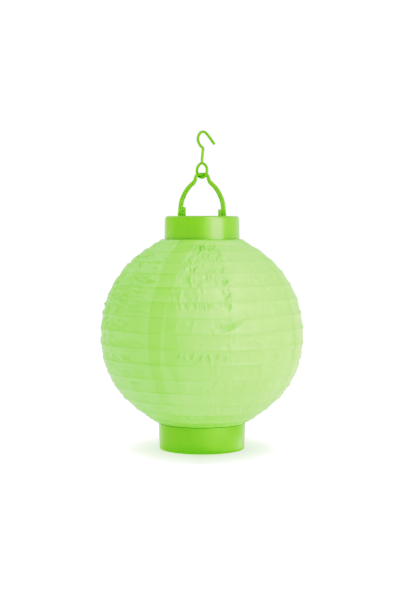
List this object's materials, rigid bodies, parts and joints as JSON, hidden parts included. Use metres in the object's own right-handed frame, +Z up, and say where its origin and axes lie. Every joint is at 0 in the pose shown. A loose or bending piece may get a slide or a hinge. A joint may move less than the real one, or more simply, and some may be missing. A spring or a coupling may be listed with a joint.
{
  "type": "solar lantern",
  "caption": "Round ribbed nylon lantern that folds flat, with a solar cap, an open base ring, a swinging bail and a wire hanging hook.",
  "frame": {"origin": "inside top of the hanging hook's loop, above the lantern's upright middle line", "axes": "+Z up along the middle line; +X along the bail's pivot line; -Y towards the viewer of the picture"},
  "size_m": [0.1994, 0.1994, 0.3132],
  "materials": {
    "green_plastic": "moulded, semi-gloss green",
    "green_wire": "gloss green coated wire",
    "nylon": "thin translucent pale green nylon",
    "rib_wire": "drawn wire",
    "screw_steel": "zinc plated",
    "white_plastic": "plain moulded",
    "black_plastic": "plain moulded",
    "foam": "closed-cell foam",
    "panel_board": "laminate",
    "silicon": "polished dark blue",
    "clear_resin": "clear, glossy",
    "battery_sleeve": "shrink sleeve on a steel can",
    "circuit_board": "solder mask",
    "inductor": "lacquered",
    "led_lens": "clear lens",
    "contact": "plated strip",
    "red_lead": "insulation",
    "black_lead": "insulation"
  },
  "bodies": {
    "hook": {"hanging_hook": "green_wire"},
    "bail": {"bail_handle": "green_plastic"},
    "solar_cap": {"cap_shell": "green_plastic", "panel_seal": "foam", "panel_board": "panel_board", "solar_cell_1": "silicon", "solar_cell_2": "silicon", "solar_cell_3": "silicon", "solar_cell_4": "silicon", "panel_resin": "clear_resin", "inner_tray": "white_plastic", "tray_screw_1": "screw_steel", "tray_screw_2": "screw_steel", "tray_screw_3": "screw_steel", "battery": "battery_sleeve", "battery_spring": "rib_wire", "battery_minus_plate": "contact", "battery_plus_plate": "contact", "battery_door": "white_plastic", "battery_door_screw": "screw_steel", "circuit_board": "circuit_board", "driver_chip": "black_plastic", "inductor": "inductor", "led": "led_lens", "switch_body": "black_plastic", "panel_lead_red": "red_lead", "panel_lead_black": "black_lead", "battery_lead_red": "red_lead", "battery_lead_black": "black_lead", "top_collar": "white_plastic", "shade_fabric": "nylon"},
    "switch": {"switch_knob": "black_plastic"},
    "base": {"base_ring": "green_plastic", "base_clamp_ring": "white_plastic"},
    "rib_hoop_01": {"rib_hoop_01": "rib_wire"},
    "rib_hoop_02": {"rib_hoop_02": "rib_wire"},
    "rib_hoop_03": {"rib_hoop_03": "rib_wire"},
    "rib_hoop_04": {"rib_hoop_04": "rib_wire"},
    "rib_hoop_05": {"rib_hoop_05": "rib_wire"},
    "rib_hoop_06": {"rib_hoop_06": "rib_wire"},
    "rib_hoop_07": {"rib_hoop_07": "rib_wire"},
    "rib_hoop_08": {"rib_hoop_08": "rib_wire"},
    "rib_hoop_09": {"rib_hoop_09": "rib_wire"},
    "rib_hoop_10": {"rib_hoop_10": "rib_wire"},
    "rib_hoop_11": {"rib_hoop_11": "rib_wire"},
    "rib_hoop_12": {"rib_hoop_12": "rib_wire"},
    "rib_hoop_13": {"rib_hoop_13": "rib_wire"},
    "rib_hoop_14": {"rib_hoop_14": "rib_wire"},
    "rib_hoop_15": {"rib_hoop_15": "rib_wire"}
  },
  "joints": [
    {"name": "bail_on_hook", "type": "hinge", "parent": "hook", "child": "bail", "pos_m": [0, 0, -0.0402], "axis": [1, 0, 0], "range_deg": [-40, 40]},
    {"name": "cap_on_bail", "type": "hinge", "parent": "bail", "child": "solar_cap", "pos_m": [0, 0, -0.0764], "axis": [1, 0, 0], "range_deg": [-75, 75]},
    {"name": "shade_collapse", "type": "slide", "parent": "solar_cap", "child": "base", "axis": [0, 0, 1], "range_m": [0, 0.15], "deforming": ["shade_fabric"]},
    {"name": "switch_slide", "type": "slide", "parent": "solar_cap", "child": "switch", "axis": [1, 0, 0], "range_m": [0, 0.003]},
    {"name": "rib_hoop_01_slide", "type": "slide", "parent": "solar_cap", "child": "rib_hoop_01", "axis": [0, 0, 1], "range_m": [0, 0.00328]},
    {"name": "rib_hoop_02_slide", "type": "slide", "parent": "solar_cap", "child": "rib_hoop_02", "axis": [0, 0, 1], "range_m": [0, 0.00953]},
    {"name": "rib_hoop_03_slide", "type": "slide", "parent": "solar_cap", "child": "rib_hoop_03", "axis": [0, 0, 1], "range_m": [0, 0.01724]},
    {"name": "rib_hoop_04_slide", "type": "slide", "parent": "solar_cap", "child": "rib_hoop_04", "axis": [0, 0, 1], "range_m": [0, 0.02627]},
    {"name": "rib_hoop_05_slide", "type": "slide", "parent": "solar_cap", "child": "rib_hoop_05", "axis": [0, 0, 1], "range_m": [0, 0.03639]},
    {"name": "rib_hoop_06_slide", "type": "slide", "parent": "solar_cap", "child": "rib_hoop_06", "axis": [0, 0, 1], "range_m": [0, 0.0474]},
    {"name": "rib_hoop_07_slide", "type": "slide", "parent": "solar_cap", "child": "rib_hoop_07", "axis": [0, 0, 1], "range_m": [0, 0.05905]},
    {"name": "rib_hoop_08_slide", "type": "slide", "parent": "solar_cap", "child": "rib_hoop_08", "axis": [0, 0, 1], "range_m": [0, 0.07108]},
    {"name": "rib_hoop_09_slide", "type": "slide", "parent": "solar_cap", "child": "rib_hoop_09", "axis": [0, 0, 1], "range_m": [0, 0.08323]},
    {"name": "rib_hoop_10_slide", "type": "slide", "parent": "solar_cap", "child": "rib_hoop_10", "axis": [0, 0, 1], "range_m": [0, 0.09524]},
    {"name": "rib_hoop_11_slide", "type": "slide", "parent": "solar_cap", "child": "rib_hoop_11", "axis": [0, 0, 1], "range_m": [0, 0.10684]},
    {"name": "rib_hoop_12_slide", "type": "slide", "parent": "solar_cap", "child": "rib_hoop_12", "axis": [0, 0, 1], "range_m": [0, 0.11778]},
    {"name": "rib_hoop_13_slide", "type": "slide", "parent": "solar_cap", "child": "rib_hoop_13", "axis": [0, 0, 1], "range_m": [0, 0.12782]},
    {"name": "rib_hoop_14_slide", "type": "slide", "parent": "solar_cap", "child": "rib_hoop_14", "axis": [0, 0, 1], "range_m": [0, 0.13673]},
    {"name": "rib_hoop_15_slide", "type": "slide", "parent": "solar_cap", "child": "rib_hoop_15", "axis": [0, 0, 1], "range_m": [0, 0.14433]}
  ],
  "couplings": [
    {"joint": "rib_hoop_01_slide", "follows": "shade_collapse", "ratio": 0.020499},
    {"joint": "rib_hoop_02_slide", "follows": "shade_collapse", "ratio": 0.062165},
    {"joint": "rib_hoop_03_slide", "follows": "shade_collapse", "ratio": 0.11363},
    {"joint": "rib_hoop_04_slide", "follows": "shade_collapse", "ratio": 0.17378},
    {"joint": "rib_hoop_05_slide", "follows": "shade_collapse", "ratio": 0.24128},
    {"joint": "rib_hoop_06_slide", "follows": "shade_collapse", "ratio": 0.31466},
    {"joint": "rib_hoop_07_slide", "follows": "shade_collapse", "ratio": 0.39231},
    {"joint": "rib_hoop_08_slide", "follows": "shade_collapse", "ratio": 0.47252},
    {"joint": "rib_hoop_09_slide", "follows": "shade_collapse", "ratio": 0.55355},
    {"joint": "rib_hoop_10_slide", "follows": "shade_collapse", "ratio": 0.63361},
    {"joint": "rib_hoop_11_slide", "follows": "shade_collapse", "ratio": 0.71095},
    {"joint": "rib_hoop_12_slide", "follows": "shade_collapse", "ratio": 0.78387},
    {"joint": "rib_hoop_13_slide", "follows": "shade_collapse", "ratio": 0.85078},
    {"joint": "rib_hoop_14_slide", "follows": "shade_collapse", "ratio": 0.91021},
    {"joint": "rib_hoop_15_slide", "follows": "shade_collapse", "ratio": 0.96086}
  ]
}
